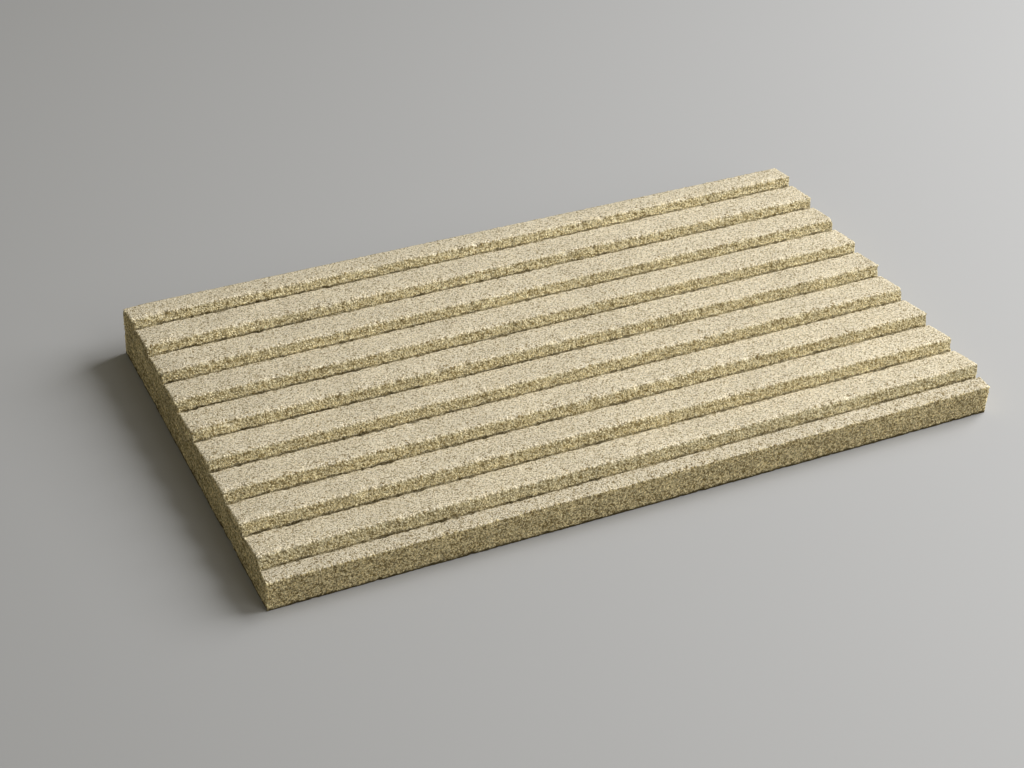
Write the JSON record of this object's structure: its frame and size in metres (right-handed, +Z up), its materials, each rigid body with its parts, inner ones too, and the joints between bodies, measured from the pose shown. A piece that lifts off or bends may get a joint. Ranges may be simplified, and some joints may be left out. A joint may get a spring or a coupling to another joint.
{
  "type": "lap-profile board",
  "caption": "Tapered rectangular board of bonded mineral granules, its top stepped in long lapped courses with upright risers; a length of cladding or insulation stock.",
  "frame": {"origin": "centre of the flat underside", "axes": "+X along the courses, +Y from the thin front edge to the thick rear edge, +Z up from the underside"},
  "size_m": [1.09, 0.6, 0.0875],
  "materials": {
    "mineral_board": "rough, granular, matt"
  },
  "bodies": {
    "root": {"panel": "mineral_board"}
  },
  "joints": []
}
